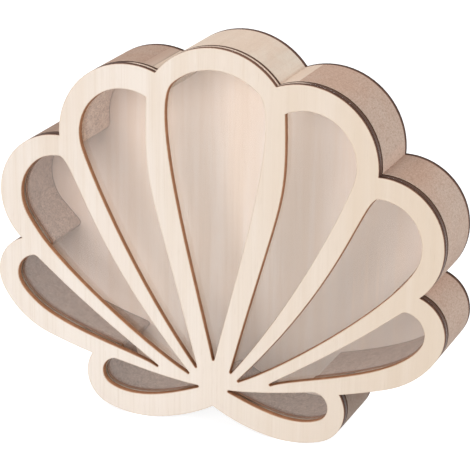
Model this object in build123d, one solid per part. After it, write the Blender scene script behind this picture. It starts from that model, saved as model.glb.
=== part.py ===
from build123d import *
import math
import os
from collections import namedtuple

# A scallop-shaped display case that stands on the two ears of the shell.
# Its lid is a front sheet with petal windows, a clear pane and a thin ring, held by magnets.
# Its body is a deep ring, glued from blocks, with a sheet across the back.
# +X is to the right seen from the front, the front faces -Y, +Z is up.
# The origin is under the middle of the case, on the surface that it stands on.
# The flat drawing of the shell holds X across and height up. Each piece is an area of that
# drawing, set upright and thickened along Y.
# Sizes are in millimetres. Angles and headings are in degrees, counted from +X towards up.

# Thicknesses along Y, from the front to the back
FRONT_THICKNESS = 3.0
PANE_THICKNESS = 1.5
LID_RING_THICKNESS = 2.0
PARTING_GAP = 0.3
BODY_DEPTH = 34.5
BACK_THICKNESS = 3.0

# Ring of blocks
WALL = 9.5
CROWN_BLOCK_WIDTH = 84.8

# Lobes of the outline: how far the middle of each arc lies beside the middle of the case and
# above the middle of the lobe below it, and its radius
EAR_X = 54.1
EAR_HEIGHT = 22.1
EAR_RADIUS = 19.0
LOWER_LOBE_X = 104.0
LOWER_LOBE_RISE = 49.9
LOWER_LOBE_RADIUS = 20.9
SIDE_LOBE_X = 88.7
SIDE_LOBE_RISE = 45.6
SIDE_LOBE_RADIUS = 34.1
SHOULDER_LOBE_X = 47.7
SHOULDER_LOBE_RISE = 36.8
SHOULDER_LOBE_RADIUS = 39.9
CROWN_LOBE_RISE = 11.9
CROWN_LOBE_RADIUS = 41.4

# Skirts: two long arcs each that leave the lower lobe and the ear and sweep in under the shell.
# One ends inside the ear, the other at the notch in the middle of the base.
LOWER_SKIRT_FIRST_RADIUS = 48.3
LOWER_SKIRT_LAST_RADIUS = 294.4
LOWER_SKIRT_END_INSET = 2.4
LOWER_SKIRT_END_RISE = 6.4
EAR_SKIRT_FIRST_RADIUS = 56.8
EAR_SKIRT_LAST_RADIUS = 93.6
BASE_NOTCH_HEIGHT = 13.7

# Ridges inside the case between its lobes: length from the notch outside, and heading
SHOULDER_RIDGE_LENGTH = 11.6
SHOULDER_RIDGE_HEADING = 213
SIDE_RIDGE_LENGTH = 17.3
SIDE_RIDGE_HEADING = 189
EAR_RIDGE_LENGTH = 17.7
EAR_RIDGE_HEADING = 161

# Windows: border left outside the crown arc, radius of that arc and of the corner inside it,
# radius and middle of the round tip
BORDER = 11.3
LOWER_BORDER = 10.4
EAR_BORDER = 8.6
CROWN_WINDOW_RADIUS = 34.6
SHOULDER_WINDOW_RADIUS = 26.4
SIDE_WINDOW_RADIUS = 23.1
LOWER_WINDOW_RADIUS = 11.6
EAR_WINDOW_RADIUS = 8.2
SHOULDER_CORNER_RADIUS = 0.3
SIDE_CORNER_RADIUS = 1.5
LOWER_CORNER_RADIUS = 4.0
EAR_CORNER_RADIUS = 5.0
TIP_RADIUS = 0.9
CROWN_TIP = (0, 40.2)
SHOULDER_TIP = (9.9, 34.5)
SIDE_TIP = (14.3, 30.3)
LOWER_TIP = (32.2, 31.3)
EAR_TIP = (8.9, 23.4)

# Disc magnets in the lid ring and in pockets of the blocks
MAGNET_RADIUS = 3.0
MAGNET_CLEARANCE = 0.1
BODY_MAGNET_THICKNESS = 2.0

Lobe = namedtuple("Lobe", "x height radius")
Skirt = namedtuple("Skirt", "lobe leave_angle first_radius last_radius end")
Ridge = namedtuple("Ridge", "point upper lower")
Joint = namedtuple("Joint", "inside outside")
Side = namedtuple("Side", "crown_angle crown_handle tip_heading tip_handle")
Window = namedtuple("Window", "lobe border touch_angle radius tip outer inner corner_radius corner_turn")

EAR = Lobe(EAR_X, EAR_HEIGHT, EAR_RADIUS)
LOWER = Lobe(LOWER_LOBE_X, EAR.height + LOWER_LOBE_RISE, LOWER_LOBE_RADIUS)
SIDE = Lobe(SIDE_LOBE_X, LOWER.height + SIDE_LOBE_RISE, SIDE_LOBE_RADIUS)
SHOULDER = Lobe(SHOULDER_LOBE_X, SIDE.height + SHOULDER_LOBE_RISE, SHOULDER_LOBE_RADIUS)
CROWN = Lobe(0, SHOULDER.height + CROWN_LOBE_RISE, CROWN_LOBE_RADIUS)
LOBES = [CROWN, SHOULDER, SIDE, LOWER, EAR]

LOWER_SKIRT_END = (EAR.x - LOWER_SKIRT_END_INSET, EAR.height + LOWER_SKIRT_END_RISE)
BASE_NOTCH = (0, BASE_NOTCH_HEIGHT)
LOWER_SKIRT = Skirt(LOWER, -29.5, LOWER_SKIRT_FIRST_RADIUS, LOWER_SKIRT_LAST_RADIUS, LOWER_SKIRT_END)
EAR_SKIRT = Skirt(EAR, -71.5, EAR_SKIRT_FIRST_RADIUS, EAR_SKIRT_LAST_RADIUS, BASE_NOTCH)

# The sides of the windows leave the crown arc and run down to the tip.
# The handles say how far each end holds its direction.
CROWN_OUTER = Side(crown_angle=47, crown_handle=20, tip_heading=77, tip_handle=40)
SHOULDER_OUTER = Side(crown_angle=-18, crown_handle=11, tip_heading=52, tip_handle=61)
SHOULDER_INNER = Side(crown_angle=117, crown_handle=51, tip_heading=75, tip_handle=105)
SIDE_OUTER = Side(crown_angle=-23, crown_handle=24, tip_heading=26, tip_handle=30)
SIDE_INNER = Side(crown_angle=92, crown_handle=11, tip_heading=48, tip_handle=85)
LOWER_OUTER = Side(crown_angle=-30, crown_handle=25, tip_heading=28, tip_handle=15)
LOWER_INNER = Side(crown_angle=81, crown_handle=13, tip_heading=33, tip_handle=57)
EAR_OUTER = Side(crown_angle=-62, crown_handle=18, tip_heading=-21, tip_handle=10)
EAR_INNER = Side(crown_angle=76, crown_handle=2, tip_heading=2, tip_handle=18)


def mirrored_side(side):
    return Side(180 - side.crown_angle, side.crown_handle, 180 - side.tip_heading, side.tip_handle)


CROWN_WINDOW = Window(
    CROWN, BORDER, touch_angle=90, radius=CROWN_WINDOW_RADIUS, tip=CROWN_TIP,
    outer=CROWN_OUTER, inner=mirrored_side(CROWN_OUTER), corner_radius=0, corner_turn=0)
SIDE_WINDOWS = [
    Window(
        SHOULDER, BORDER, touch_angle=10, radius=SHOULDER_WINDOW_RADIUS, tip=SHOULDER_TIP,
        outer=SHOULDER_OUTER, inner=SHOULDER_INNER, corner_radius=SHOULDER_CORNER_RADIUS, corner_turn=65),
    Window(
        SIDE, BORDER, touch_angle=12, radius=SIDE_WINDOW_RADIUS, tip=SIDE_TIP,
        outer=SIDE_OUTER, inner=SIDE_INNER, corner_radius=SIDE_CORNER_RADIUS, corner_turn=29),
    Window(
        LOWER, LOWER_BORDER, touch_angle=15, radius=LOWER_WINDOW_RADIUS, tip=LOWER_TIP,
        outer=LOWER_OUTER, inner=LOWER_INNER, corner_radius=LOWER_CORNER_RADIUS, corner_turn=47),
    Window(
        EAR, EAR_BORDER, touch_angle=36, radius=EAR_WINDOW_RADIUS, tip=EAR_TIP,
        outer=EAR_OUTER, inner=EAR_INNER, corner_radius=EAR_CORNER_RADIUS, corner_turn=21),
]

# Where the magnets sit on the ring: lobe and angle, repeated on the left
MAGNET_PLACES = [(CROWN, 90), (SIDE, 0), (EAR, -60)]


def toward(angle, length):
    """A step of this length along this heading of the drawing."""
    return Vector(math.cos(math.radians(angle)), math.sin(math.radians(angle))) * length


def heading(step):
    return math.degrees(math.atan2(step.Y, step.X))


def middle(lobe):
    return Vector(lobe.x, lobe.height)


def disc(place, radius):
    return Pos(place.X, place.Y) * Circle(radius)


def polygon(corners):
    return make_face(Polyline(*corners, close=True))


def with_mirror(area):
    """The area and its mirror image across the middle of the case."""
    return area + mirror(area, Plane.YZ)


def crossing(first, last):
    """Where the circles of two arcs cross, on the left of the way from the first to the last."""
    span = middle(last) - middle(first)
    along = (span.length ** 2 + first.radius ** 2 - last.radius ** 2) / (2 * span.length)
    across = math.sqrt(first.radius ** 2 - along ** 2)
    unit = span.normalized()
    return middle(first) + unit * along + Vector(-unit.Y, unit.X) * across


def skirt_arcs(skirt):
    """The two arcs of a skirt. The first is tangent to the lobe, and the last to the first."""
    place = middle(skirt.lobe) + toward(skirt.leave_angle, skirt.lobe.radius - skirt.first_radius)
    first = Lobe(place.X, place.Y, skirt.first_radius)
    round_end = Lobe(*skirt.end, skirt.last_radius)
    place = crossing(round_end, first._replace(radius=skirt.last_radius - skirt.first_radius))
    return first, Lobe(place.X, place.Y, skirt.last_radius)


def skirt_end(skirt, inset):
    """Where a skirt, drawn inset, comes to the X of its end."""
    first, last = skirt_arcs(skirt)
    across = skirt.end[0] - last.x
    return Vector(skirt.end[0], last.height - math.sqrt((last.radius - inset) ** 2 - across ** 2))


def skirt_area(skirt, inset):
    """What lies between a skirt, drawn inset, and the middle of its lobe."""
    first, last = skirt_arcs(skirt)
    start = middle(first) + toward(skirt.leave_angle, first.radius - inset)
    end = skirt_end(skirt, inset)
    meeting_angle = heading(middle(first) - middle(last))
    end_angle = heading(end - middle(last))
    return make_face([
        CenterArc(middle(first), first.radius - inset, meeting_angle, skirt.leave_angle - meeting_angle),
        CenterArc(middle(last), last.radius - inset, end_angle, meeting_angle - end_angle),
        Polyline(end, middle(skirt.lobe), start),
    ])


# Notches outside between the lobes, and the ridges that face them inside
SHOULDER_NOTCH = crossing(SHOULDER, SIDE)
SIDE_NOTCH = crossing(SIDE, LOWER)
EAR_NOTCH = crossing(skirt_arcs(LOWER_SKIRT)[1], EAR)
SHOULDER_RIDGE = SHOULDER_NOTCH + toward(SHOULDER_RIDGE_HEADING, SHOULDER_RIDGE_LENGTH)
SIDE_RIDGE = SIDE_NOTCH + toward(SIDE_RIDGE_HEADING, SIDE_RIDGE_LENGTH)
EAR_RIDGE = EAR_NOTCH + toward(EAR_RIDGE_HEADING, EAR_RIDGE_LENGTH)
RIDGES = [
    Ridge(SHOULDER_RIDGE, SHOULDER, SIDE),
    Ridge(SIDE_RIDGE, SIDE, LOWER),
    Ridge(EAR_RIDGE, LOWER, EAR),
]


def tangent_area(lobe, radius, point):
    """What lies between a circle round the middle of a lobe and its two tangents to a point."""
    span = point - middle(lobe)
    if span.length <= radius:
        return disc(middle(lobe), radius)
    spread = math.degrees(math.acos(radius / span.length))
    first = middle(lobe) + toward(heading(span) - spread, radius)
    last = middle(lobe) + toward(heading(span) + spread, radius)
    return polygon([middle(lobe), first, point, last])


def shell_area(inset, ridges):
    """The scallop, drawn inset from the outline. Ridges are named where its lobes meet inside."""
    area = Sketch()
    for lobe in LOBES:
        area += disc(middle(lobe), lobe.radius - inset)
    for ridge in ridges:
        for lobe in (ridge.upper, ridge.lower):
            area += tangent_area(lobe, lobe.radius - inset, ridge.point)
    for skirt in (LOWER_SKIRT, EAR_SKIRT):
        area += skirt_area(skirt, inset)
    ridge_above = {ridge.lower: ridge.point for ridge in ridges}
    corners = []
    for lobe in LOBES:
        if lobe in ridge_above:
            corners.append(ridge_above[lobe])
        corners.append(middle(lobe))
    corners.append(skirt_end(EAR_SKIRT, inset))
    return with_mirror(area + polygon(corners))


def window_area(window):
    """A petal: an arc at the crown, two curved sides and a small round tip.

    The arc's own circle touches a line drawn border inside the lobe, at touch_angle.
    The inner side leaves the arc through a small rounded corner, where one is given.
    """
    lobe = window.lobe
    outer = window.outer
    inner = window.inner
    tip = Vector(*window.tip)
    crown = middle(lobe) + toward(window.touch_angle, lobe.radius - window.border - window.radius)

    outer_tip = tip + toward(outer.tip_heading - 90, TIP_RADIUS)
    outer_end = crown + toward(outer.crown_angle, window.radius)
    outer_curve = Bezier(
        outer_tip,
        outer_tip + toward(outer.tip_heading, outer.tip_handle),
        outer_end + toward(outer.crown_angle - 90, outer.crown_handle),
        outer_end,
    )
    crown_arc = CenterArc(crown, window.radius, outer.crown_angle, inner.crown_angle - outer.crown_angle)
    corner = crown + toward(inner.crown_angle, window.radius - window.corner_radius)
    leave_angle = inner.crown_angle + window.corner_turn
    inner_end = corner + toward(leave_angle, window.corner_radius)
    inner_tip = tip + toward(inner.tip_heading + 90, TIP_RADIUS)
    inner_curve = Bezier(
        inner_end,
        inner_end + toward(leave_angle + 90, inner.crown_handle),
        inner_tip + toward(inner.tip_heading, inner.tip_handle),
        inner_tip,
    )
    tip_end = tip - toward((outer.tip_heading + inner.tip_heading) / 2, TIP_RADIUS)
    edges = [outer_curve, crown_arc, inner_curve, ThreePointArc(inner_tip, tip_end, outer_tip)]
    if window.corner_radius:
        edges.append(CenterArc(corner, window.corner_radius, inner.crown_angle, window.corner_turn))
    return make_face(edges)


def magnet_area(radius):
    """Circles of this radius at the magnets, in the middle of the wall."""
    area = Sketch()
    for lobe, angle in MAGNET_PLACES:
        area += disc(middle(lobe) + toward(angle, lobe.radius - WALL / 2), radius)
    return with_mirror(area)


OUTLINE = shell_area(0, [])
CAVITY = shell_area(WALL, RIDGES)
MAGNETS = magnet_area(MAGNET_RADIUS)
MAGNET_HOLES = magnet_area(MAGNET_RADIUS + MAGNET_CLEARANCE)
WIDTH = OUTLINE.bounding_box().size.X

# The drawing is lowered so that the lowest lines of the ears stand at Z = 0
DROP = OUTLINE.bounding_box().min.Y

# Places of the rear faces along Y: the middle of the whole depth is at Y = 0
LID_DEPTH = LID_RING_THICKNESS + PANE_THICKNESS + FRONT_THICKNESS
DEPTH = BACK_THICKNESS + BODY_DEPTH + PARTING_GAP + LID_DEPTH
BACK_REAR = DEPTH / 2
BODY_REAR = BACK_REAR - BACK_THICKNESS
BODY_FRONT = BODY_REAR - BODY_DEPTH
LID_RING_REAR = BODY_FRONT - PARTING_GAP
PANE_REAR = LID_RING_REAR - LID_RING_THICKNESS
FRONT_REAR = PANE_REAR - PANE_THICKNESS


def layer(area, rear, thickness):
    """An area set upright with its rear face at Y = rear, thickened towards the front."""
    upright = Plane(origin=(0, rear, -DROP), x_dir=(1, 0, 0), z_dir=(0, -1, 0))
    return extrude(upright * area, thickness)


def front_panel():
    openings = window_area(CROWN_WINDOW)
    for window in SIDE_WINDOWS:
        openings += with_mirror(window_area(window))
    return layer(OUTLINE - openings, FRONT_REAR, FRONT_THICKNESS)


def window_pane():
    return layer(OUTLINE, PANE_REAR, PANE_THICKNESS)


def lid_ring():
    return layer(OUTLINE - CAVITY - MAGNET_HOLES, LID_RING_REAR, LID_RING_THICKNESS)


def lid_magnets():
    return layer(MAGNETS, LID_RING_REAR, LID_RING_THICKNESS)


def body_magnets():
    return layer(MAGNETS, BODY_FRONT + BODY_MAGNET_THICKNESS, BODY_MAGNET_THICKNESS)


def back_panel():
    return layer(OUTLINE, BACK_REAR, BACK_THICKNESS)


def mirrored_joint(joint):
    return Joint(*[Vector(-point.X, point.Y) for point in joint])


def sector(start, end):
    """The area between two glue joints, from inside the cavity to well outside the outline."""
    far = [joint.inside + (joint.outside - joint.inside).normalized() * WIDTH for joint in (start, end)]
    return polygon([start.inside, far[0], far[1], end.inside])


def blocks():
    """The ring, cut at its glue joints into blocks, with pockets for the magnets."""
    ring = layer(OUTLINE - CAVITY, BODY_REAR, BODY_DEPTH)
    ring -= layer(MAGNET_HOLES, BODY_FRONT + BODY_MAGNET_THICKNESS, BODY_MAGNET_THICKNESS)
    half_crown = CROWN_BLOCK_WIDTH / 2
    crown_joint = Joint(Vector(half_crown, SHOULDER.height), Vector(half_crown, WIDTH))
    shoulder_joint = Joint(SHOULDER_RIDGE, SHOULDER_NOTCH)
    side_joint = Joint(SIDE_RIDGE, SIDE_NOTCH)
    ear_joint = Joint(EAR_RIDGE, EAR_NOTCH)
    sectors = {
        "crown_block": sector(mirrored_joint(crown_joint), crown_joint),
        "shoulder_block_right": sector(crown_joint, shoulder_joint),
        "side_block_right": sector(shoulder_joint, side_joint),
        "lower_block_right": sector(side_joint, ear_joint),
        "base_block": sector(ear_joint, mirrored_joint(ear_joint)),
    }
    for name in ("shoulder_block", "side_block", "lower_block"):
        sectors[f"{name}_left"] = mirror(sectors[f"{name}_right"], Plane.YZ)
    return {name: ring & layer(area, BODY_REAR, BODY_DEPTH) for name, area in sectors.items()}


def main():
    pieces = blocks()
    pieces["front_panel"] = front_panel()
    pieces["window_pane"] = window_pane()
    pieces["lid_ring"] = lid_ring()
    pieces["lid_magnets"] = lid_magnets()
    pieces["body_magnets"] = body_magnets()
    pieces["back_panel"] = back_panel()
    os.makedirs("parts", exist_ok=True)
    for name, piece in pieces.items():
        export_step(piece, f"parts/{name}.step")


main()
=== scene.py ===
"""Looks for a scallop-shaped display case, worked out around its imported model.

It is laid out as an add-on: the panel lists the settings and one operator for each group of pieces.
"""

import math

import bmesh
import bpy
import numpy as np
from bpy.props import FloatProperty, FloatVectorProperty, PointerProperty
from mathutils import Euler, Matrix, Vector
from mathutils.geometry import delaunay_2d_cdt


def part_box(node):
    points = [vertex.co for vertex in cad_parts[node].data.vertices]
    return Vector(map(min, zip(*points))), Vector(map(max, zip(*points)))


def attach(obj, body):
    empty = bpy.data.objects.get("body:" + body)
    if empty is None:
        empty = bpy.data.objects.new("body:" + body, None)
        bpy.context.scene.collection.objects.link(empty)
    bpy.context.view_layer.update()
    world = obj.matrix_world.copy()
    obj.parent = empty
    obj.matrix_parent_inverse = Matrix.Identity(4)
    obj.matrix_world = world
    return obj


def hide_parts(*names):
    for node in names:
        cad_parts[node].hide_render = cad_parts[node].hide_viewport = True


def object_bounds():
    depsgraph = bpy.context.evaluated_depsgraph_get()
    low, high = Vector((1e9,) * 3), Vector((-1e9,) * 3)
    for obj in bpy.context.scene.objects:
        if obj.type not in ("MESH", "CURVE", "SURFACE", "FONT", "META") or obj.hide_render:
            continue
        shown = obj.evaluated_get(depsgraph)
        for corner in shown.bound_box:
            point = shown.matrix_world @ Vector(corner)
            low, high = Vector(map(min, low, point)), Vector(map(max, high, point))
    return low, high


bl_info = {
    "name": "Seashell Display Case",
    "version": (1, 0, 0),
    "blender": (4, 5, 0),
    "location": "3D View > Sidebar > Display Case",
    "description": "Dresses the case: plywood front, clear pane, lid ring, glued blocks, back and magnets",
    "category": "Object",
}

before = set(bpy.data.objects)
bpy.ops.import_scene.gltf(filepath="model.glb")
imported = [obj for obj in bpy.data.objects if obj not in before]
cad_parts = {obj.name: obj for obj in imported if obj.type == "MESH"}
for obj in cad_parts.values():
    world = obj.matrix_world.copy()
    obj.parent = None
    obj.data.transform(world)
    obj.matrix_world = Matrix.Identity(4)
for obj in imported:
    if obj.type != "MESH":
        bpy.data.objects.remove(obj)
LOWEST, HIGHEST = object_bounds()

MM = 0.001
LID = "lid"
CASE = "case"

# Points this close are one. Past the sharp turn a path has a corner or a ridge, and where the
# sine of its turn is below the gentle one it is smooth.
WELD = 0.002 * MM
SHARP_TURN = math.radians(30)
GENTLE_TURN = 0.35

# How near a point is to the case's outline, the cavity's edge or a disc's middle to belong to it
OUTLINE_REACH = 0.6 * MM
CAVITY_REACH = 0.15 * MM
DISC_REACH = 4 * MM

# The laser's cut narrows as it goes: how far a window's wood reaches in, at the front and the rear
KERF = (0.12 * MM, 0.5 * MM)

# The cavity's edge follows the windows' borders: up to the side lobes' top and, on the blocks
# too, along the skirts of the lower lobes
BORDER_REACH = 3.4 * MM
SIDE_TOP = 141 * MM
SKIRT_TOP = 66 * MM
SKIRT_RISE = 6 * MM
SKIRT_FOOT = 36 * MM
SKIRT_REACH = 2 * MM
SMOOTHINGS = 4
RING_PROUD = 0.45 * MM

# How far from its tip a ridge of the cavity starts to be rounded
RIDGE_REACH = 4 * MM
LOW_RIDGE_REACH = 3 * MM
ROUND_STEPS = 5

# The leftmost ends of the left windows: how far the wood reaches in, and where that starts
END_SHIFT = 0.7 * MM
END_FROM = 98 * MM
END_RISE = 8 * MM

# A face is a cut edge where its normal has less than this along Y
CUT_FACING = 0.4
SHEET_CREASE = math.radians(20)
DISC_CREASE = math.radians(40)
DISC_RIM = 0.3 * MM

# Each block's brightness inside the ring and outside, which is painted light and shade on each
# block's walls along with some real difference in tone between the blocks, how much greyer all but
# the crown's are inside, and the width of their rims, as shares of what the settings say
BLOCKS = {"crown_block": (1.02, 1.0), "shoulder_block_left": (1.75, 0.9), "shoulder_block_right": (1.6, 1.02),
          "side_block_left": (1.3, 0.72), "side_block_right": (1.3, 1.02), "lower_block_left": (0.98, 1.0),
          "lower_block_right": (1.1, 1.0), "base_block": (1.12, 0.64)}
GREYED = (1, 1.09, 1.15)
BLOCK_RIM_SHARE = 0.4

# Tones: the left shoulder's glue joint, the dark line at the walls' rear (a glue line with painted
# shade of the gap), painted light round the notches (squares of distances), painted light that
# makes the crown's outline paler, and the pane's edge with its painted light and shade
LEFT_JOINT = -36.9 * MM
REAR_LINE = (18.2 * MM, 18.8 * MM)
PAINTED_LIGHT_NOTCHES = ((87.5 * MM, 150.5 * MM), (110.9 * MM, 90.6 * MM))
PAINTED_LIGHT_FADE = (80 * MM ** 2, 12 * MM ** 2)
PAINTED_LIGHT_RAGGED = 60 * MM ** 2
CROWN_PAINTED_LIGHT_HEIGHTS = (184 * MM, 190 * MM)
CROWN_PAINTED_LIGHT_SIDES = (36 * MM, 32 * MM)
PANE_PAINTED_LIGHT_HEIGHTS = (140 * MM, 165 * MM)
PANE_PAINTED_LIGHT_SIDES = (52 * MM, 44 * MM)
PANE_PAINTED_SHADE_HEIGHTS = (40 * MM, 30 * MM)
PANE_IOR = 1.49

# The stage: size and place of each lamp in metres, and where they point
LAMPS = {"key": (1.2, (-0.15, -1.45, 0.32)), "fill": (0.9, (1.3, -0.3, 0.65)),
         "top": (1.0, (-0.72, -0.1, 1.2))}
AIM = (0, 0, 0.1)
FLOOR_HALF = 12.0

# The camera: place in metres, turn in degrees, lens and sensor in millimetres
CAMERA_PLACE = (0.405157, -0.984733, 0.479923)
CAMERA_TURN = (70.4092, -0.5087, 22.4111)
LENS = 165.85
SENSOR = 36


# ---- shader maths

class Value:
    """A number in a node tree. Python's own sums on it add Math nodes."""

    def __init__(self, shader, socket):
        self.shader = shader
        self.socket = socket

    def sum(self, operation, *others):
        """A Math node with this operation on these numbers."""
        node = self.shader.node("ShaderNodeMath", {"operation": operation}, {
            place: other for place, other in enumerate(others)})
        return Value(self.shader, node.outputs[0])

    def __add__(self, other):
        return self.sum("ADD", self, other)

    def __radd__(self, other):
        return self.sum("ADD", other, self)

    def __sub__(self, other):
        return self.sum("SUBTRACT", self, other)

    def __rsub__(self, other):
        return self.sum("SUBTRACT", other, self)

    def __mul__(self, other):
        return self.sum("MULTIPLY", self, other)

    def __rmul__(self, other):
        return self.sum("MULTIPLY", other, self)

    def __pow__(self, other):
        return self.sum("POWER", self, other)

    def least(self, other):
        return self.sum("MINIMUM", self, other)

    def most(self, other):
        return self.sum("MAXIMUM", self, other)

    def size(self):
        return self.sum("ABSOLUTE", self)

    def step(self, start, end):
        """0 up to start and 1 from end, with a smooth rise between. Start may be past end."""
        settings = {"interpolation_type": "SMOOTHSTEP", "clamp": True}
        low, high, first, last = (start, end, 0.0, 1.0) if start < end else (end, start, 1.0, 0.0)
        node = self.shader.node("ShaderNodeMapRange", settings, {
            "Value": self, "From Min": low, "From Max": high, "To Min": first, "To Max": last})
        return Value(self.shader, node.outputs[0])


class Shader:
    """A material's node tree, with one Principled shader at its end."""

    def __init__(self, name):
        self.material = bpy.data.materials.new(name)
        self.material.use_nodes = True
        self.tree = self.material.node_tree
        self.surface = self.tree.nodes["Principled BSDF"]
        self.output = self.tree.nodes["Material Output"]
        self.place = self.node("ShaderNodeTexCoord").outputs["Object"]

    def node(self, kind, settings=None, values=None):
        """A node of this kind. Settings are set first, then each socket takes its value or link."""
        node = self.tree.nodes.new(kind)
        for name, setting in (settings or {}).items():
            setattr(node, name, setting)
        for name, value in (values or {}).items():
            self.feed(node.inputs[name], value)
        return node

    def feed(self, socket, value):
        """Links a value to this socket, or sets the socket's number or colour."""
        if isinstance(value, Value):
            value = value.socket
        if isinstance(value, bpy.types.NodeSocket):
            self.tree.links.new(value, socket)
        elif socket.type == "RGBA":
            socket.default_value = (*value[:3], 1)
        else:
            socket.default_value = value

    def set(self, name, value):
        """Feeds an input of the Principled shader."""
        self.feed(self.surface.inputs[name], value)

    def scaled(self, scale, place=None):
        """The object's own coordinates in metres, times a scale along X, Y and Z."""
        return self.node("ShaderNodeVectorMath", {"operation": "MULTIPLY"}, {
            0: place or self.place, 1: scale}).outputs[0]

    def shifted(self, step):
        """The object's own coordinates, moved by a step."""
        return self.node("ShaderNodeVectorMath", {"operation": "ADD"}, {
            0: self.place, 1: step}).outputs[0]

    def along(self, axis):
        """The object's own coordinate on this axis, in metres."""
        node = self.node("ShaderNodeSeparateXYZ", None, {0: self.place})
        return Value(self, node.outputs[axis])

    def noise(self, scale, detail=2.0, roughness=0.5, distortion=0.0, place=None):
        """Noise from 0 to 1 whose lumps are 1 / scale metres long along X, Y and Z."""
        node = self.node("ShaderNodeTexNoise", None, {
            "Vector": self.scaled(scale, place), "Scale": 1.0, "Detail": detail,
            "Roughness": roughness, "Distortion": distortion})
        return Value(self, node.outputs[0])

    def attribute(self, name):
        return Value(self, self.node("ShaderNodeAttribute", {"attribute_name": name}).outputs["Fac"])

    def mix(self, factor, first, last):
        """The first colour where factor is 0 and the last where it is 1."""
        node = self.node("ShaderNodeMix", {"data_type": "RGBA"}, {0: factor, 6: first, 7: last})
        return node.outputs[2]

    def bump(self, height, distance, strength):
        node = self.node("ShaderNodeBump", None, {
            "Height": height, "Distance": distance, "Strength": strength})
        self.set("Normal", node.outputs[0])


def linear(*srgb):
    """Linear light from a colour written as 0 to 255 on a screen."""
    shares = [value / 255 for value in srgb]
    return tuple(s / 12.92 if s <= 0.04045 else ((s + 0.055) / 1.055) ** 2.4 for s in shares)


# ---- settings

# The cut edges' colours, near the face where the cut started and where it ended: in the openings
# and round the outline. Then the pane's edge: the painted dark tone that shows through it, and its
# painted light at the crown.
FRONT_CUT = (linear(190, 142, 108), linear(141, 96, 67))
FRONT_OUTLINE = (linear(150, 110, 88), linear(84, 58, 47))
RING_CUT = (linear(174, 132, 106), linear(150, 112, 90))
RING_OUTLINE = (linear(112, 80, 64), linear(60, 42, 34))
BACK_OUTLINE = (linear(120, 86, 70), linear(62, 43, 37))
PANE_PAINTED_DARK = linear(84, 58, 46)
PANE_PAINTED_LIGHT = linear(236, 212, 192)


class CaseLooks(bpy.types.PropertyGroup):
    """Sizes and colours that a maker would change."""

    face_colour: FloatVectorProperty(
        name="Veneer", description="Colour of the front's sanded face veneer",
        subtype="COLOR", size=3, min=0, max=1, default=linear(221, 209, 198))
    scorch_colour: FloatVectorProperty(
        name="Scorch", description="Colour of the face where the laser browned it beside a cut",
        subtype="COLOR", size=3, min=0, max=1, default=linear(134, 92, 66))
    block_colour: FloatVectorProperty(
        name="Blocks", description="Colour of the darker glued blocks",
        subtype="COLOR", size=3, min=0, max=1, default=linear(196, 170, 154))
    crown_colour: FloatVectorProperty(
        name="Crown block", description="Colour of the pale block at the crown",
        subtype="COLOR", size=3, min=0, max=1, default=linear(224, 207, 191))
    back_colour: FloatVectorProperty(
        name="Back", description="Colour of the back sheet's veneer",
        subtype="COLOR", size=3, min=0, max=1, default=linear(253, 235, 221))
    rim_width: FloatProperty(
        name="Rim", description="Width of the softened rim along each cut edge",
        subtype="DISTANCE", unit="LENGTH", min=0.02 * MM, max=0.5 * MM, default=0.12 * MM)
    scorch_width: FloatProperty(
        name="Scorch width", description="How far the browning reaches over the face from a cut",
        subtype="DISTANCE", unit="LENGTH", min=0.2 * MM, max=1.6 * MM, default=0.9 * MM)
    grain_pitch: FloatProperty(
        name="Grain pitch", description="Distance between the fine lines of the veneer's grain",
        subtype="DISTANCE", unit="LENGTH", min=0.3 * MM, max=5 * MM, default=1.3 * MM)


class StageLooks(bpy.types.PropertyGroup):
    """Lights round the case."""

    key_power: FloatProperty(
        name="Key light", description="Power of the large soft light before the case",
        subtype="POWER", unit="POWER", min=0, max=500, default=20.4)
    fill_power: FloatProperty(
        name="Fill light", description="Power of the soft light to the right of the case",
        subtype="POWER", unit="POWER", min=0, max=500, default=11.5)
    top_power: FloatProperty(
        name="Top light", description="Power of the soft light above the case",
        subtype="POWER", unit="POWER", min=0, max=500, default=11)
    world_strength: FloatProperty(
        name="Surroundings", description="Strength of the even light from all round",
        min=0, max=3, default=0.28)


# ---- meshes

def add_piece(name, mesh, body, replaced, materials):
    """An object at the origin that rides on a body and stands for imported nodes."""
    piece = bpy.data.objects.new(name, mesh)
    bpy.context.scene.collection.objects.link(piece)
    for material in materials:
        mesh.materials.append(material)
    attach(piece, body)
    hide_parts(*replaced)


def merged(node):
    """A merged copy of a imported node's triangles, as a bmesh."""
    work = bmesh.new()
    work.from_mesh(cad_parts[node].data)
    bmesh.ops.remove_doubles(work, verts=work.verts, dist=WELD)
    return work


def rim_path(node):
    """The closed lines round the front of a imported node, as points (X, Z) and directed edges.

    They are the sides that only one triangle of the front has. Wood lies to the left of each
    edge as it is drawn, with X to the right and Z up.
    """
    work = merged(node)
    work.verts.index_update()
    points = np.array([vert.co for vert in work.verts])
    front = points[:, 1].min()
    corners = np.array([[vert.index for vert in face.verts] for face in work.faces])
    work.free()
    flat = corners[(points[corners, 1] < front + WELD).all(axis=1)]
    sides = np.vstack((flat[:, [0, 1]], flat[:, [1, 2]], flat[:, [2, 0]]))
    code = sides[:, 0] * len(points) + sides[:, 1]
    twin = sides[:, 1] * len(points) + sides[:, 0]
    sides = sides[~np.isin(code, twin)]
    used, edges = np.unique(sides, return_inverse=True)
    return points[used][:, [0, 2]], edges.reshape(-1, 2)


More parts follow.
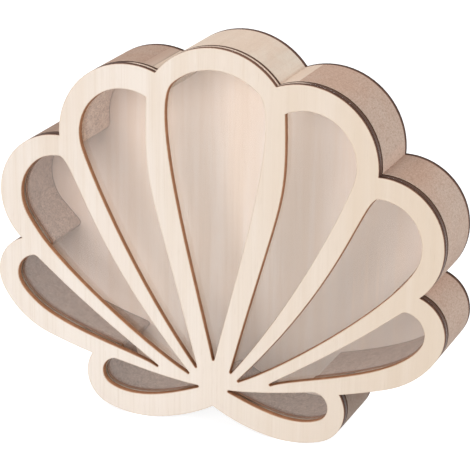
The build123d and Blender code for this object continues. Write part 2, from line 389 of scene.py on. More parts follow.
def corner_cut(points, edges, width):
    """The path with each sharp outer corner replaced by a short slanted edge.

    For a path that turns by T at a corner, the cut starts width * (1 + tan(T / 4) / cos(T / 2))
    before it, so that the slanted edge is still there when the path is inset by the width.
    """
    along, onward, turn = turnings(points, edges)
    sharp = np.flatnonzero(turn > SHARP_TURN)
    reach = width * (1 + np.tan(turn[sharp] / 4) / np.cos(turn[sharp] / 2))[:, None]
    extra = len(points) + np.arange(len(sharp))
    cut = points.copy()
    cut[sharp] -= along[sharp] * reach
    leaving = np.arange(len(points))
    leaving[sharp] = extra
    joined = np.column_stack((leaving[edges[:, 0]], edges[:, 1]))
    return (np.vstack((cut, points[sharp] + onward[sharp] * reach)),
            np.vstack((joined, np.column_stack((sharp, extra)))))


def neighbours(points, edges):
    """For each point of a path, the point before it and the point after it."""
    before, after = np.zeros(len(points), int), np.zeros(len(points), int)
    after[edges[:, 0]] = edges[:, 1]
    before[edges[:, 1]] = edges[:, 0]
    return before, after


def unit(steps):
    """The steps with length 1."""
    return steps / np.maximum(np.linalg.norm(steps, axis=1), 1e-12)[:, None]


def cross(first, last):
    """The product of the two lengths and the sine of the turn from first to last."""
    return first[:, 0] * last[:, 1] - first[:, 1] * last[:, 0]


def turnings(points, edges):
    """At each point of a path: the direction in, the direction out, and the turn to the left."""
    before, after = neighbours(points, edges)
    along, onward = unit(points - points[before]), unit(points[after] - points)
    return along, onward, np.arctan2(cross(along, onward), (along * onward).sum(axis=1))


def distances(points, spots):
    """The distance from each point (a row) to each spot (a column)."""
    return np.linalg.norm(points[:, None] - spots, axis=2)


def inset(points, edges, width):
    """The path moved into the wood by this width.

    Each point moves along the sum of its two edges' normals, by width / (1 + their product),
    which keeps both edges at the full width. A very sharp corner moves by 3 widths at most.
    """
    along, onward, _ = turnings(points, edges)
    first = np.column_stack((-along[:, 1], along[:, 0]))
    last = np.column_stack((-onward[:, 1], onward[:, 0]))
    share = 1 / np.maximum(1 + (first * last).sum(axis=1), 0.25)
    return points + (first + last) * (share * width)[:, None]


def inside(spots, points, edges):
    """True for each spot that a ray towards +X leaves through an odd number of edges."""
    low, high = points[edges[:, 0]], points[edges[:, 1]]
    x, z = spots[:, :1], spots[:, 1:]
    spans = (low[:, 1] > z) != (high[:, 1] > z)
    rise = np.where(np.abs(high[:, 1] - low[:, 1]) < 1e-15, 1.0, high[:, 1] - low[:, 1])
    meets = low[:, 0] + (z - low[:, 1]) * (high[:, 0] - low[:, 0]) / rise
    return (spans & (meets > x)).sum(axis=1) % 2 == 1


def filled(points, edges):
    """Triangles between the edges, each turning from X towards Z. Only the edges' points count."""
    used, part = np.unique(edges, return_inverse=True)
    part = part.reshape(-1, 2)
    spots = points[used]
    found, _, triangles, *_ = delaunay_2d_cdt([Vector(spot) for spot in spots / MM], part.tolist(), [], 0,
                                              1e-5, False)
    if len(found) != len(spots):
        raise RuntimeError("the inset path crosses itself: make the scorch or the rim narrower")
    triangles = np.array(triangles)
    triangles = triangles[inside(spots[triangles].mean(axis=1), spots, part)]
    one, two, three = (spots[triangles[:, place]] for place in range(3))
    clockwise = cross(two - one, three - one) < 0
    triangles[clockwise] = triangles[clockwise][:, ::-1]
    return used[triangles]


def sheet_mesh(node, name, rim, scorch=0.0, corner=0.0, pocket=None, kerf=(0.0, 0.0), hug=None, shift=0.0):
    """A flat piece cut from sheet or plank, with softened rims.

    Its section is a profile of (inset from the path, place along Y): from the scorch's inner
    line on the front, round the front rim, through the thickness, round the rear rim and back
    to the scorch's inner line on the rear. The profile is carried along the path round the
    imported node, and triangles fill the front and the rear inside it. A path that is a pocket
    goes in only as far as pocket says. Faces have material 0 and cut edges material 1.

    Corner cuts sharp outer corners by its width. Kerf is how far an opening's wood reaches past
    the path at the front and the rear, and shift how much further at the left windows' leftmost
    ends. Hug moves the cavity's edge to the windows' borders, as hugging says, and rounds its
    ridges, unless it is None.
    """
    low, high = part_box(node)
    points, edges = rim_path(node)
    blind = pocket_points(points, node) if pocket else np.zeros(len(points), bool)
    if hug is not None:
        points, edges = rounded(hugging(points, edges, hug), edges, hug)
    if corner:
        points, edges = corner_cut(points, edges, corner)
    blind = np.pad(blind, (0, len(points) - len(blind)))
    soft = rim * (1 - math.sqrt(0.5))
    near = [(rim, 0.0), (soft, soft), (0.0, rim)]
    if scorch:
        near.insert(0, (rim + scorch, 0.0))
    near = np.array(near)
    widths = np.concatenate((near[:, 0], near[::-1, 0]))
    along = np.concatenate((low.y + near[:, 1], high.y - near[::-1, 1]))
    burn = np.where(widths > rim, 0.0, 1.0)
    count, steps = len(points), len(widths)
    far = np.arange(steps) >= len(near)
    outer, slant = on_outline(points)
    growth = kerf[0] + (kerf[1] - kerf[0]) * (along - low.y) / (high.y - low.y)
    ends = left_ends(points, edges) * shift
    paths = [inset(points, edges, width - (more + ends) * (1 - outer)) for width, more in zip(widths, growth)]
    rings = np.stack([np.insert(path, 1, depth, axis=1) for path, depth in zip(paths, along)])
    rings[np.ix_(far, blind)] = np.insert(points, 1, pocket or 0.0, axis=1)[blind]
    step = np.arange(steps - 1)[:, None, None] * count
    first, last = edges[:, 0], edges[:, 1]
    walls = step + np.stack((first, first + count, last + count, last), axis=-1)
    keep = ~(blind[first] & far[:-1, None])
    through = ~blind[first]
    faces = walls[keep].tolist() + filled(paths[0], edges).tolist()
    faces += (filled(paths[0], edges[through]) + (steps - 1) * count)[:, ::-1].tolist()
    if blind.any():
        faces += (filled(points, edges[~through][:, ::-1]) + len(near) * count).tolist()
    mesh = bpy.data.meshes.new(name)
    mesh.from_pydata(rings.reshape(-1, 3).tolist(), [], faces)
    for title, values in (("scorch", np.repeat(burn, count)), ("outer", np.tile(outer, steps)),
                          ("slant", np.tile(slant, steps))):
        layer = mesh.attributes.new(title, "FLOAT", "POINT")
        layer.data.foreach_set("value", values.astype(np.float32))
    tidy(mesh)
    normals = np.zeros(len(mesh.polygons) * 3, np.float32)
    mesh.polygons.foreach_get("normal", normals)
    edgewise = np.abs(normals.reshape(-1, 3)[:, 1]) < CUT_FACING
    mesh.polygons.foreach_set("material_index", edgewise.astype(np.int32))
    mesh.shade_smooth()
    mesh.set_sharp_from_angle(angle=SHEET_CREASE)
    return mesh


def nearest_on(points, corners, edges):
    """For each point: the nearest place on the edges, how far it is, and which edge it is on.

    On an edge from a to b it is a + (b - a) s, where s is the point's share along the edge,
    held between 0 and 1.
    """
    start, step = corners[edges[:, 0]], corners[edges[:, 1]] - corners[edges[:, 0]]
    apart = points[:, None] - start
    share = np.clip((apart * step).sum(axis=2) / (step ** 2).sum(axis=1), 0, 1)
    offset = apart - step * share[..., None]
    distance = np.linalg.norm(offset, axis=2)
    nearest = distance.argmin(axis=1)
    row = np.arange(len(points))
    return points - offset[row, nearest], distance[row, nearest], nearest


def on_outline(points):
    """For each point: 1 on the case's outline and 0 off it, and how upright the outline is there."""
    corners, edges = rim_path("back_panel")
    _, distance, nearest = nearest_on(points, corners, edges)
    step = corners[edges[:, 1]] - corners[edges[:, 0]]
    slant = np.abs(unit(step)[nearest][:, 1])
    return (distance < OUTLINE_REACH).astype(float), slant


def hugging(points, edges, whole):
    """The path with the cavity's edge moved to the borders of the front's windows.

    A point of the cavity's edge moves to the nearest place on a border. Where whole is False
    only points that stand in a window and those of the low skirts do. Then each moved point goes
    halfway to the middle of its neighbours, a few times, and where whole is True the moved edge
    reaches a little further into the cavity.
    """
    corners, borders = rim_path("front_panel")
    borders = borders[on_outline(corners)[0][borders].min(axis=1) < 0.5]
    ring, loop = cavity_loop()
    on_cavity = nearest_on(points, ring, loop)[1] < CAVITY_REACH
    target, gap, _ = nearest_on(points, corners, borders)
    gentle = np.abs(np.sin(turnings(points, edges)[2])) < GENTLE_TURN
    sunk = inside(points, corners, borders)
    height = points[:, 1]
    near = (gap < BORDER_REACH) & gentle & (height < SIDE_TOP)
    share = np.where(sunk, 1.0, near & whole)
    low = np.clip((SKIRT_TOP - height) / SKIRT_RISE, 0, 1) * (height > SKIRT_FOOT) * (gap < SKIRT_REACH)
    share = np.where(on_cavity, np.maximum(share, low), 0.0)
    moved = points + (target - points) * share[:, None]
    smooth = (share > 0) & gentle
    before, after = neighbours(points, edges)
    for _ in range(SMOOTHINGS):
        halfway = moved / 2 + (moved[before] + moved[after]) / 4
        moved = np.where(smooth[:, None], halfway, moved)
    return inset(moved, edges, -RING_PROUD * share * whole)


def left_ends(points, edges):
    """How much each point is at the leftmost end of a left window, from 0 to 1.

    It is how far the edge faces right, times a rise from 0 to 1 towards the left.
    """
    before, after = neighbours(points, edges)
    facing = unit(points[after] - points[before])[:, 1]
    return np.clip(facing, 0, 1) * np.clip((-points[:, 0] - END_FROM) / END_RISE, 0, 1)


def cavity_loop():
    """The edge of the case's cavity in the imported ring: its points and edges."""
    ring, edges = rim_path("lid_ring")
    centres = np.array(disc_places("lid_magnets"))[:, :2]
    near_disc = distances(ring, centres).min(axis=1) < DISC_REACH
    cavity = (on_outline(ring)[0] < 0.5) & ~near_disc
    return ring, edges[cavity[edges].all(axis=1)]


def ridge_rounds(points, loop):
    """The circle that rounds off each ridge of the cavity, as (tips, centres, radii, reaches).

    A ridge is a point where the wood turns left by T. A circle that touches both of its sides
    at a distance D from the tip has the radius D / tan(T / 2), and its middle is
    D / sin(T / 2) from the tip, on the wood's side.
    """
    used = np.unique(loop)
    along, onward, turn = turnings(points, loop)
    ridge = used[turn[used] > SHARP_TURN]
    along, onward, turn, tips = along[ridge], onward[ridge], turn[ridge], points[ridge]
    reach = np.where(tips[:, 1] > SKIRT_TOP, RIDGE_REACH, LOW_RIDGE_REACH)
    centres = tips + unit(onward - along) * (reach / np.sin(turn / 2))[:, None]
    return tips, centres, reach / np.tan(turn / 2), reach


def rounded(points, edges, whole):
    """The path with more points beside each ridge of the cavity, moved onto the ridge's circle.

    A point that is D or less from a tip and outside its circle goes to the circle's middle plus
    the radius times the direction from the middle to the point.
    """
    ring, loop = cavity_loop()
    ring = hugging(ring, loop, whole)
    tips, centres, radii, reaches = ridge_rounds(ring, loop)
    apart = distances(points, tips)
    close, reach = apart.min(axis=1) < CAVITY_REACH, reaches[apart.argmin(axis=1)]
    on_cavity = nearest_on(points, ring, loop)[1] < CAVITY_REACH
    leaves = close[edges[:, 0]] & on_cavity[edges[:, 1]]
    arrives = close[edges[:, 1]] & on_cavity[edges[:, 0]]
    sides = [(tip, other, True) for tip, other in edges[leaves]]
    sides += [(tip, other, False) for other, tip in edges[arrives]]
    shares = np.arange(1, ROUND_STEPS + 1) / ROUND_STEPS
    added, chains, count = [points], [edges[~(leaves | arrives)]], len(points)
    for tip, other, forward in sides:
        direction = points[other] - points[tip]
        steps = shares * reach[tip] / np.linalg.norm(direction)
        spots = points[tip] + direction * steps[steps < 1][:, None]
        line = np.concatenate(([tip], count + np.arange(len(spots)), [other]))
        chains.append(np.column_stack((line[:-1], line[1:]) if forward else (line[1:], line[:-1])))
        added.append(spots)
        count += len(spots)
    points, edges = np.vstack(added), np.vstack(chains)
    apart = distances(points, tips)
    which = apart.argmin(axis=1)
    beyond = points - centres[which]
    distance = np.linalg.norm(beyond, axis=1)
    moves = (apart.min(axis=1) <= reaches[which] * 1.001) & (distance > radii[which])
    moved = centres[which] + beyond * (radii[which] / distance)[:, None]
    return np.where(moves[:, None], moved, points), edges


def pocket_points(points, node):
    """True for each point of a path on the front that the rear of the node doesn't have."""
    spots = np.array([vert.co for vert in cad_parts[node].data.vertices])
    behind = spots[spots[:, 1] > spots[:, 1].max() - WELD][:, [0, 2]]
    return distances(points, behind).min(axis=1) > MM


def tidy(mesh):
    """Drops points that no face uses and turns every face outwards."""
    work = bmesh.new()
    work.from_mesh(mesh)
    bmesh.ops.delete(work, geom=[vert for vert in work.verts if not vert.link_faces], context="VERTS")
    bmesh.ops.dissolve_degenerate(work, dist=1e-7, edges=work.edges)
    bmesh.ops.recalc_face_normals(work, faces=work.faces)
    work.to_mesh(mesh)
    work.free()


def lathe_disc(centre_x, centre_z, radius, front, rear, rim, turns=40):
    """Points and quads of a disc with rounded rims, turned about Y.

    Its profile is a path of (distance from the axis, place along Y): the middle of the front,
    a quarter circle round each rim, and the middle of the rear. Each point of the path is
    carried round the axis: x = centre + r cos a, z = centre + r sin a.
    """
    quarter = np.linspace(0, math.pi / 2, 4)
    near = np.column_stack((radius - rim + rim * np.sin(quarter), front + rim - rim * np.cos(quarter)))
    far = np.column_stack((near[::-1, 0], front + rear - near[::-1, 1]))
    profile = np.vstack(([radius * 0.5, front], near, far, [radius * 0.5, rear]))
    angle = np.linspace(0, 2 * math.pi, turns, endpoint=False)
    distance, along = profile[:, :1], profile[:, 1:]
    x = centre_x + distance * np.cos(angle)
    z = centre_z + distance * np.sin(angle)
    points = np.stack((x, np.broadcast_to(along, x.shape), z), axis=-1).reshape(-1, 3)
    middles = np.array([[centre_x, front, centre_z], [centre_x, rear, centre_z]])
    column, row = np.arange(turns), np.arange(len(profile) - 1)[:, None] * turns
    after = (column + 1) % turns
    quads = np.stack((row + column, row + turns + column, row + turns + after, row + after), axis=-1)
    count, last = len(points), (len(profile) - 1) * turns
    front_fan = np.stack((np.full(turns, count), column, after), axis=-1)
    rear_fan = np.stack((np.full(turns, count + 1), last + after, last + column), axis=-1)
    faces = quads.reshape(-1, 4).tolist() + front_fan.tolist() + rear_fan.tolist()
    return np.vstack((points, middles)), faces


def disc_places(node):
    """The middles of the separate discs of a node, in X and Z, with its radius, front and rear."""
    work = merged(node)
    left = set(work.verts)
    places = []
    while left:
        island, newest = set(), {left.pop()}
        while newest:
            island |= newest
            newest = {edge.other_vert(vert) for vert in newest for edge in vert.link_edges} - island
        left -= island
        points = np.array([vert.co for vert in island])
        low, high = points.min(0), points.max(0)
        middle = (low + high) / 2
        places.append((middle[0], middle[2], (high[0] - low[0]) / 2, low[1], high[1]))
    work.free()
    return sorted(places)


def magnet_mesh(node, name):
    """All the discs of a node in one mesh."""
    points, faces = [], []
    for x, z, radius, front, rear in disc_places(node):
        disc_points, disc_faces = lathe_disc(x, z, radius, front, rear, DISC_RIM)
        faces += [[corner + len(points) for corner in face] for face in disc_faces]
        points += disc_points.tolist()
    mesh = bpy.data.meshes.new(name)
    mesh.from_pydata(points, [], faces)
    tidy(mesh)
    mesh.shade_smooth()
    mesh.set_sharp_from_angle(angle=DISC_CREASE)
    return mesh


# ---- finishes

def grain(shader, pitch, seed):
    """Vertical wood grain: (fine lines, broad bands, dark pores), each from 0 to 1."""
    place = shader.shifted((seed, seed * 0.37, seed * 0.61))
    lines = shader.noise((1 / pitch, 8, 9), 3.0, 0.6, 0.35, place)
    bands = shader.noise((105, 9, 4), 3.0, 0.55, 0.8, place)
    pores = shader.noise((1 / (0.28 * MM), 30, 110), 1.0, 0.5, 0.0, place).step(0.66, 0.78)
    return lines, bands, pores


def tinted(colour, *shares):
    """The colour with its red, green and blue times these shares."""
    return tuple(min(1.0, part * share) for part, share in zip(colour, shares))


def veneer(name, colour, pitch, seed, contrast, drift_and_painted_light=0.0, painted_shade=0.0, strip_darkening=0.0):
    """Sanded veneer with vertical grain, browned where the scorch attribute says so.

    The last three numbers say how much yellower the wood is towards the right, with painted light
    that makes it paler towards the bottom; how much painted shade darkens it towards the left end,
    the right and the lower right; and how strongly the whole strip beside a cut takes the scorch colour.
    """
    looks = bpy.context.scene.case_looks
    shader = Shader(name)
    lines, bands, pores = grain(shader, pitch, seed)
    cloud = shader.noise((30, 30, 22), 3.0, 0.55, 0.3, shader.shifted((seed, 0, seed)))
    x = shader.along(0)
    tone = shader.mix(bands.step(0.36, 0.64) * (0.7 * contrast), tinted(colour, 1.03, 1.04, 1.05),
                      tinted(colour, 0.95, 0.91, 0.85))
    tone = shader.mix(cloud.step(0.35, 0.7) * (0.4 * contrast), tone, tinted(colour, 0.96, 0.91, 0.86))
    if drift_and_painted_light:
        # Painted light: paler towards the bottom; the yellower right is the wood's own tone
        pale = shader.along(2).step(150 * MM, 20 * MM) * 0.6
        tone = shader.mix(pale, tone, tinted(colour, 1.12, 1.15, 1.18))
        yellow = x.step(-70 * MM, 125 * MM) * (0.35 + bands * 0.8) * drift_and_painted_light
        tone = shader.mix(yellow.least(1.0), tone, tinted(colour, 0.88, 0.81, 0.71))
    if painted_shade:
        # Painted shade: darker towards the right, the lower right and the left end
        low = shader.along(2).step(130 * MM, 60 * MM)
        right = x.step(-20 * MM, 95 * MM) * 0.85 + x.step(10 * MM, 60 * MM) * low * 0.6
        tone = shader.mix((right * painted_shade).least(1.0), tone, tinted(colour, 0.5, 0.48, 0.47))
        tone = shader.mix(x.step(-45 * MM, -95 * MM) * painted_shade, tone, tinted(colour, 0.53, 0.45, 0.42))
    tone = shader.mix(lines.step(0.42, 0.8) * (0.4 * contrast), tone, tinted(colour, 0.84, 0.78, 0.7))
    tone = shader.mix(pores * (0.3 * contrast), tone, tinted(colour, 0.66, 0.58, 0.5))
    scorch = shader.attribute("scorch")
    ragged = shader.noise((900, 900, 900), 2.0)
    tone = shader.mix(scorch * 0.3, tone, tinted(colour, 1.0, 0.92, 0.8))
    tone = shader.mix(((scorch ** 6) * (0.1 + ragged * 0.35)).least(1.0), tone, looks.scorch_colour)
    if strip_darkening:
        # The whole strip beside a cut takes the scorch colour
        tone = shader.mix((scorch ** 0.4) * strip_darkening, tone, looks.scorch_colour)
    shader.set("Base Color", tone)
    shader.set("Roughness", 0.62 + lines * 0.12)
    shader.set("Specular IOR Level", 0.25)
    shader.bump(lines * 0.6 - pores * 0.4, 0.04 * MM, 0.5)
    return shader.material


def cut_edge(name, front, rear, seed, inner, outer, depth=0.75):
    """An edge that the laser burned, darkest from this share of its depth.

    Streaks run through the thickness. Inner and outer hold two colours each, for openings and
    for the case's outline: near the face where the cut started and where it ended. Painted light
    makes the crown's outline paler.
    """
    shader = Shader(name)
    place = shader.shifted((seed, seed, seed))
    across = (shader.along(1) - front) * (1 / (rear - front))
    streaks = shader.noise((1300, 40, 1300), 3.0, 0.6, 0.0, place)
    patches = shader.noise((140, 90, 140), 2.0, 0.5, 0.4, place)
    fine = shader.noise((2600, 2600, 2600), 2.0, 0.6, 0.0, place)
    burn = across.step(0.0, depth) + (streaks - 0.5) * 0.9 + (patches - 0.5) * 0.7 + (fine - 0.5) * 0.4
    burn = burn.most(0.0).least(1.0)
    outside = shader.attribute("outer")
    light = shader.mix(outside, inner[0], outer[0])
    # Painted light: the crown's outline is paler
    crown = shader.along(2).step(*CROWN_PAINTED_LIGHT_HEIGHTS) * shader.along(0).size().step(*CROWN_PAINTED_LIGHT_SIDES)
    dark = shader.mix(outside, inner[1], shader.mix(crown, outer[1], tinted(outer[1], 1.7, 1.75, 1.75)))
    shader.set("Base Color", shader.mix(burn, light, dark))
    shader.set("Roughness", 0.6 + streaks * 0.25)
    shader.set("Specular IOR Level", 0.2)
    shader.bump(streaks, 0.08 * MM, 0.7)
    return shader.material


def block_finish(name, colour, inner, seed, speckle, grain_share, left_colour=None):
    """Sanded solid wood: fine speckle of cut pores, soft patches and a little vertical grain.

    Painted light makes the outside paler and greyer where it faces sideways, broken up by random
    patches. The inside of the ring has its own mottled colour and a thin dark line at its rear, a
    glue line with painted shade of the gap. A left colour takes over past a thin dark joint on the
    left shoulder. Without one, painted light makes the outside pale beside the notches.
    """
    shader = Shader(name)
    place = shader.shifted((seed, seed * 1.3, seed * 0.7))
    dots = shader.noise((1300, 800, 1300), 3.0, 0.65, 0.0, place)
    flecks = shader.noise((700, 260, 700), 2.0, 0.55, 0.0, place).step(0.56, 0.68)
    patches = shader.noise((60, 44, 60), 4.0, 0.6, 0.6, place)
    lines, bands, _ = grain(shader, 1.6 * MM, seed)
    upright = shader.attribute("slant")
    # Painted light: paler and greyer where the outside faces sideways, broken by random patches
    side_light_and_patches = (upright.step(0.25, 0.95) * 0.8 + (patches - 0.5) * 1.6).most(0.0).least(1.0)
    outside = shader.mix(side_light_and_patches, tinted(colour, 0.97, 0.91, 0.87), tinted(colour, 1.05, 1.14, 1.18))
    x, z = shader.along(0), shader.along(2)
    if left_colour:
        past = x.step(LEFT_JOINT + 0.2 * MM, LEFT_JOINT - 0.2 * MM)
        outside = shader.mix(past, outside, left_colour)
        joint = (x - LEFT_JOINT).size().step(0.5 * MM, 0.15 * MM)
        outside = shader.mix(joint * 0.5, outside, tinted(left_colour, 0.4, 0.36, 0.34))
    else:
        # Painted light round the notches
        for aside, height in PAINTED_LIGHT_NOTCHES:
            across, up = x.size() - aside, z - height
            near = (across * across + up * up + (patches - 0.5) * PAINTED_LIGHT_RAGGED).step(*PAINTED_LIGHT_FADE)
            outside = shader.mix(near * 0.6, outside, tinted(colour, 1.2, 1.24, 1.26))
    mottle = shader.noise((300, 220, 300), 3.0, 0.65, 0.4, place)
    walls = shader.mix(mottle.step(0.36, 0.66), tinted(inner, 1.07, 1.07, 1.07),
                       tinted(inner, 0.92, 0.91, 0.9))
    # A dark glue line at the walls' rear, with painted shade of the gap
    rear = shader.along(1).step(*REAR_LINE) * 0.75
    walls = shader.mix(rear, walls, tinted(inner, 0.42, 0.36, 0.34))
    outer = shader.attribute("outer")
    tone = shader.mix(outer, walls, outside)
    tone = shader.mix((dots - 0.4).most(0.0) * (1.9 * speckle), tone, tinted(colour, 0.66, 0.56, 0.5))
    tone = shader.mix((0.42 - dots).most(0.0) * (1.6 * speckle), tone, tinted(colour, 1.5, 1.55, 1.6))
    tone = shader.mix(flecks * (0.22 * speckle), tone, tinted(colour, 0.5, 0.42, 0.36))
    lined = lines.step(0.45, 0.75) * outer * (0.35 * grain_share)
    tone = shader.mix(lined, tone, tinted(colour, 0.78, 0.7, 0.62))
    banded = bands.step(0.35, 0.7) * outer * (0.4 * grain_share)
    tone = shader.mix(banded, tone, tinted(colour, 1.1, 1.1, 1.1))
    shader.set("Base Color", tone)
    shader.set("Roughness", 0.68 + dots * 0.12)
    shader.set("Specular IOR Level", 0.2)
    shader.bump(dots * 0.6 + lines * outer * 0.4, 0.06 * MM, 0.6)
    return shader.material


def cap_finish(name, colour):
    """Sawn faces of the blocks, which the lid ring and the back sheet cover."""
    shader = Shader(name)
    dots = shader.noise((1500, 1500, 1500), 2.0, 0.6)
    arcs = shader.noise((60, 60, 420), 2.0, 0.5, 0.8)
    tone = shader.mix(arcs.step(0.35, 0.7) * 0.5, tinted(colour, 1.05, 1.03, 1.0),
                      tinted(colour, 0.9, 0.84, 0.77))
    tone = shader.mix((dots - 0.45).most(0.0) * 1.2, tone, tinted(colour, 0.6, 0.5, 0.42))
    shader.set("Base Color", tone)
    shader.set("Roughness", 0.7 + dots * 0.1)
    shader.set("Specular IOR Level", 0.2)
    shader.bump(dots, 0.05 * MM, 0.5)
    return shader.material


def sheet_edge_finish(name, painted_dark, glow):
    """The clear sheet's cut edge, painted with the light and shade that show through it: painted light at the
    crown, a painted dark tone elsewhere, and painted shade darkest at the foot.
    """
    shader = Shader(name)
    x, z = shader.along(0).size(), shader.along(2)
    # Painted light at the crown
    crown = x.step(*PANE_PAINTED_LIGHT_SIDES) * z.step(*PANE_PAINTED_LIGHT_HEIGHTS)
    streaks = shader.noise((1100, 50, 1100), 2.0, 0.6)
    tone = shader.mix(crown, painted_dark, glow)
    # Painted shade, darkest at the foot
    tone = shader.mix(z.step(*PANE_PAINTED_SHADE_HEIGHTS), tone, tinted(painted_dark, 0.5, 0.5, 0.5))
    streaked = (streaks - 0.4).most(0.0) * 0.8
    shader.set("Base Color", shader.mix(streaked, tone, tinted(painted_dark, 0.8, 0.8, 0.8)))
    shader.set("Roughness", 0.3 + streaks * 0.2)
    return shader.material


def clear_finish(name):
    """Clear sheet: what is behind shows through, and at a slant more of the room is mirrored."""
    shader = Shader(name)
    shader.set("Base Color", (0.97, 0.98, 0.98))
    shader.set("Metallic", 1.0)
    shader.set("Roughness", 0.04)
    shader.set("IOR", PANE_IOR)
    through = shader.node("ShaderNodeBsdfTransparent", None, {"Color": (0.995, 0.995, 0.995)})
    mirror = shader.node("ShaderNodeFresnel", None, {"IOR": PANE_IOR}).outputs[0]
    mixed = shader.node("ShaderNodeMixShader", None, {
        0: Value(shader, mirror) * 0.9, 1: through.outputs[0], 2: shader.surface.outputs[0]})
    shader.tree.links.new(mixed.outputs[0], shader.output.inputs[0])
    return shader.material


def magnet_finish(name):
    """Bright plated metal with fine scratches and a few dull spots."""
    shader = Shader(name)
    scratches = shader.noise((2200, 60, 2200), 2.0, 0.6, 0.8)
    spots = shader.noise((700, 700, 700), 2.0).step(0.62, 0.75)
    shader.set("Base Color", shader.mix(spots * 0.5, (0.72, 0.72, 0.73), (0.45, 0.43, 0.42)))
    shader.set("Metallic", 1.0)
    shader.set("Roughness", 0.2 + scratches * 0.14 + spots * 0.2)
    return shader.material


# ---- operators

class DISPLAYCASE_OT_stage(bpy.types.Operator):
    """Make the floor, the lights, the surroundings and the camera"""
    bl_idname = "displaycase.stage"
    bl_label = "Stage"

    def execute(self, context):
        make_floor(LOWEST.z)
        make_lights(context.scene.stage_looks)
        make_camera()
        return {"FINISHED"}


class DISPLAYCASE_OT_front(bpy.types.Operator):
    """Make the front sheet with its nine windows"""
    bl_idname = "displaycase.front"
    bl_label = "Front sheet"

    def execute(self, context):
        looks = context.scene.case_looks
        low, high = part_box("front_panel")
        mesh = sheet_mesh("front_panel", "front_sheet", looks.rim_width, looks.scorch_width,
                          kerf=KERF, shift=END_SHIFT)
        # The front's veneer has painted light towards the bottom
        face = veneer("front_veneer", looks.face_colour, looks.grain_pitch, seed=3.1,
                      contrast=0.85, drift_and_painted_light=1.0)
        edge = cut_edge("front_cut_edge", low.y, high.y, 1.7, FRONT_CUT, FRONT_OUTLINE, depth=0.45)
        add_piece("front_sheet", mesh, LID, ["front_panel"], [face, edge])
        return {"FINISHED"}


class DISPLAYCASE_OT_pane(bpy.types.Operator):
    """Make the clear pane"""
    bl_idname = "displaycase.pane"
    bl_label = "Clear pane"

    def execute(self, context):
        looks = context.scene.case_looks
        mesh = sheet_mesh("window_pane", "clear_pane", looks.rim_width * 0.5)
        # The pane's edge is painted with the light and shade that show through it
        edge = sheet_edge_finish("clear_sheet_edge", PANE_PAINTED_DARK, PANE_PAINTED_LIGHT)
        face = clear_finish("clear_sheet")
        add_piece("clear_pane", mesh, LID, ["window_pane"], [face, edge])
        return {"FINISHED"}


class DISPLAYCASE_OT_ring(bpy.types.Operator):
    """Make the thin ring behind the pane"""
    bl_idname = "displaycase.ring"
    bl_label = "Lid ring"

    def execute(self, context):
        looks = context.scene.case_looks
        low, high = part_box("lid_ring")
        mesh = sheet_mesh("lid_ring", "ring_sheet", looks.rim_width, looks.scorch_width * 0.5,
                          hug=True, shift=END_SHIFT)
        face = veneer("ring_veneer", looks.face_colour, looks.grain_pitch, seed=8.4,
                      contrast=1.0, strip_darkening=0.9)
        edge = cut_edge("ring_cut_edge", low.y, high.y, 5.9, RING_CUT, RING_OUTLINE)
        add_piece("ring_sheet", mesh, LID, ["lid_ring"], [face, edge])
        return {"FINISHED"}


class DISPLAYCASE_OT_back(bpy.types.Operator):
    """Make the back sheet"""
    bl_idname = "displaycase.back"
    bl_label = "Back sheet"

    def execute(self, context):
        looks = context.scene.case_looks
        low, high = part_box("back_panel")
        mesh = sheet_mesh("back_panel", "back_sheet", looks.rim_width, looks.scorch_width)
        # The back's veneer has painted shade towards its ends
        face = veneer("back_veneer", looks.back_colour, looks.grain_pitch * 1.8, seed=12.6,
                      contrast=1.0, painted_shade=0.45)
        edge = cut_edge("back_cut_edge", low.y, high.y, 9.2, BACK_OUTLINE, BACK_OUTLINE)
        add_piece("back_sheet", mesh, CASE, ["back_panel"], [face, edge])
        return {"FINISHED"}


class DISPLAYCASE_OT_blocks(bpy.types.Operator):
    """Make the glued blocks"""
    bl_idname = "displaycase.blocks"
    bl_label = "Glued blocks"

    def execute(self, context):
        looks = context.scene.case_looks
        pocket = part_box("body_magnets")[1].y
        cap = cap_finish("sawn_wood", looks.crown_colour)
        for number, (node, (wall_light, outer_light)) in enumerate(BLOCKS.items()):
            crown = node == "crown_block"
            wood = looks.crown_colour if crown else looks.block_colour
            # Painted light and shade: each block's walls inside and outside get their own brightness
            inner = tinted(wood, *(wall_light * share for share in ((1, 1, 1) if crown else GREYED)))
            colour = tinted(wood, outer_light, outer_light, outer_light)
            dark = tinted(looks.block_colour, 0.92, 0.88, 0.86) if crown else None
            finish = block_finish(f"{node}_wood", colour, inner, 2.0 + number * 1.9, 0.3 if crown else 1.0,
                                  0.7 if crown else 0.15, dark)
            name = node.replace("block", "segment")
            rim = looks.rim_width * BLOCK_RIM_SHARE
            mesh = sheet_mesh(node, name, rim, corner=rim, pocket=pocket, hug=False)
            add_piece(name, mesh, CASE, [node], [cap, finish])
        return {"FINISHED"}


class DISPLAYCASE_OT_magnets(bpy.types.Operator):
    """Make the disc magnets of the lid and the body"""
    bl_idname = "displaycase.magnets"
    bl_label = "Disc magnets"

    def execute(self, context):
        finish = magnet_finish("plated_disc")
        for node, body in (("lid_magnets", LID), ("body_magnets", CASE)):
            name = node.replace("magnets", "discs")
            add_piece(name, magnet_mesh(node, name), body, [node], [finish])
        return {"FINISHED"}


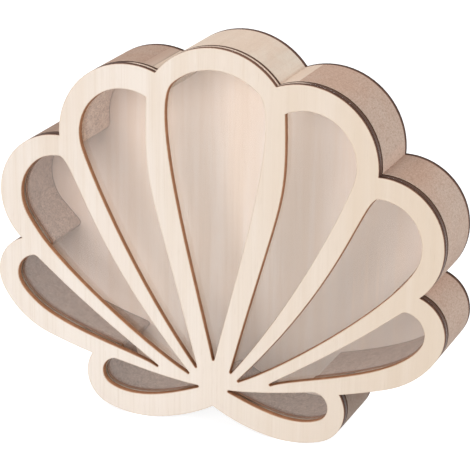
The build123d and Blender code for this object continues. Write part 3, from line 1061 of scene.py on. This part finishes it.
def make_floor(height):
    """A wide pale floor.

    Seen straight, in metal or through the pane it is white but for the case's faint shadow.
    For the light that it throws back it is a plain light grey.
    """
    mesh = bpy.data.meshes.new("floor")
    corners = [(x * FLOOR_HALF, y * FLOOR_HALF, height) for x, y in ((-1, -1), (1, -1), (1, 1), (-1, 1))]
    mesh.from_pydata(corners, [], [(0, 1, 2, 3)])
    floor = bpy.data.objects.new("floor", mesh)
    bpy.context.scene.collection.objects.link(floor)
    shader = Shader("floor_paint")
    path = shader.node("ShaderNodeLightPath").outputs
    seen = Value(shader, path["Is Camera Ray"]) + Value(shader, path["Is Glossy Ray"])
    seen = (seen + Value(shader, path["Is Transmission Ray"])).least(1.0)
    shader.set("Base Color", (0.5, 0.5, 0.5))
    shader.set("Roughness", 0.9)
    shown = shader.node("ShaderNodeBsdfDiffuse", None, {"Color": (0.45, 0.45, 0.45)})
    glow = shader.node("ShaderNodeEmission", None, {"Color": (1, 1, 1), "Strength": 0.88})
    both = shader.node("ShaderNodeAddShader", None, {0: shown.outputs[0], 1: glow.outputs[0]})
    mixed = shader.node("ShaderNodeMixShader", None, {
        0: seen, 1: shader.surface.outputs[0], 2: both.outputs[0]})
    shader.tree.links.new(mixed.outputs[0], shader.output.inputs[0])
    mesh.materials.append(shader.material)


def make_lights(looks):
    """Soft lights before the case, to its right and above it, and even light from all round.

    Past the floor the camera sees a plain pale tone.
    """
    scene = bpy.context.scene
    scene.world = bpy.data.worlds.new("surroundings")
    scene.world.use_nodes = True
    tree = scene.world.node_tree
    even = tree.nodes["Background"]
    even.inputs["Color"].default_value = (1, 1, 1, 1)
    even.inputs["Strength"].default_value = looks.world_strength
    pale = tree.nodes.new("ShaderNodeBackground")
    path = tree.nodes.new("ShaderNodeLightPath")
    mixed = tree.nodes.new("ShaderNodeMixShader")
    tree.links.new(path.outputs["Is Camera Ray"], mixed.inputs[0])
    tree.links.new(even.outputs[0], mixed.inputs[1])
    tree.links.new(pale.outputs[0], mixed.inputs[2])
    tree.links.new(mixed.outputs[0], tree.nodes["World Output"].inputs[0])
    powers = {"key": looks.key_power, "fill": looks.fill_power, "top": looks.top_power}
    for name, (size, place) in LAMPS.items():
        lamp = bpy.data.lights.new(name, "AREA")
        lamp.size, lamp.energy = size, powers[name]
        holder = bpy.data.objects.new(name, lamp)
        holder.location = place
        holder.rotation_euler = (Vector(AIM) - Vector(place)).to_track_quat("-Z", "Y").to_euler()
        scene.collection.objects.link(holder)


def make_camera():
    """A long lens to the right of the case and above it, looking slightly down."""
    data = bpy.data.cameras.new("camera")
    data.sensor_width, data.lens = SENSOR, LENS
    data.clip_start, data.clip_end = 0.05, 60
    camera = bpy.data.objects.new("camera", data)
    camera.location = CAMERA_PLACE
    camera.rotation_euler = Euler([math.radians(angle) for angle in CAMERA_TURN])
    bpy.context.scene.collection.objects.link(camera)
    bpy.context.scene.camera = camera


class DISPLAYCASE_PT_panel(bpy.types.Panel):
    """Settings and steps of the display case"""
    bl_idname = "DISPLAYCASE_PT_panel"
    bl_label = "Display Case"
    bl_space_type = "VIEW_3D"
    bl_region_type = "UI"
    bl_category = "Display Case"

    def draw(self, context):
        for group in (context.scene.case_looks, context.scene.stage_looks):
            for name in group.__annotations__:
                self.layout.prop(group, name)
        for operator in OPERATORS:
            self.layout.operator(operator.bl_idname)


OPERATORS = (DISPLAYCASE_OT_stage, DISPLAYCASE_OT_back, DISPLAYCASE_OT_blocks, DISPLAYCASE_OT_ring,
             DISPLAYCASE_OT_pane, DISPLAYCASE_OT_front, DISPLAYCASE_OT_magnets)
CLASSES = (CaseLooks, StageLooks, *OPERATORS, DISPLAYCASE_PT_panel)


def register():
    for cls in CLASSES:
        bpy.utils.register_class(cls)
    bpy.types.Scene.case_looks = PointerProperty(type=CaseLooks)
    bpy.types.Scene.stage_looks = PointerProperty(type=StageLooks)


def unregister():
    del bpy.types.Scene.case_looks
    del bpy.types.Scene.stage_looks
    for cls in reversed(CLASSES):
        bpy.utils.unregister_class(cls)


def main():
    """Makes every piece by its operator."""
    register()
    bpy.context.scene.view_settings.view_transform = "Standard"
    for operator in OPERATORS:
        group, name = operator.bl_idname.split(".")
        getattr(getattr(bpy.ops, group), name)()


if __name__ == "__main__":
    main()
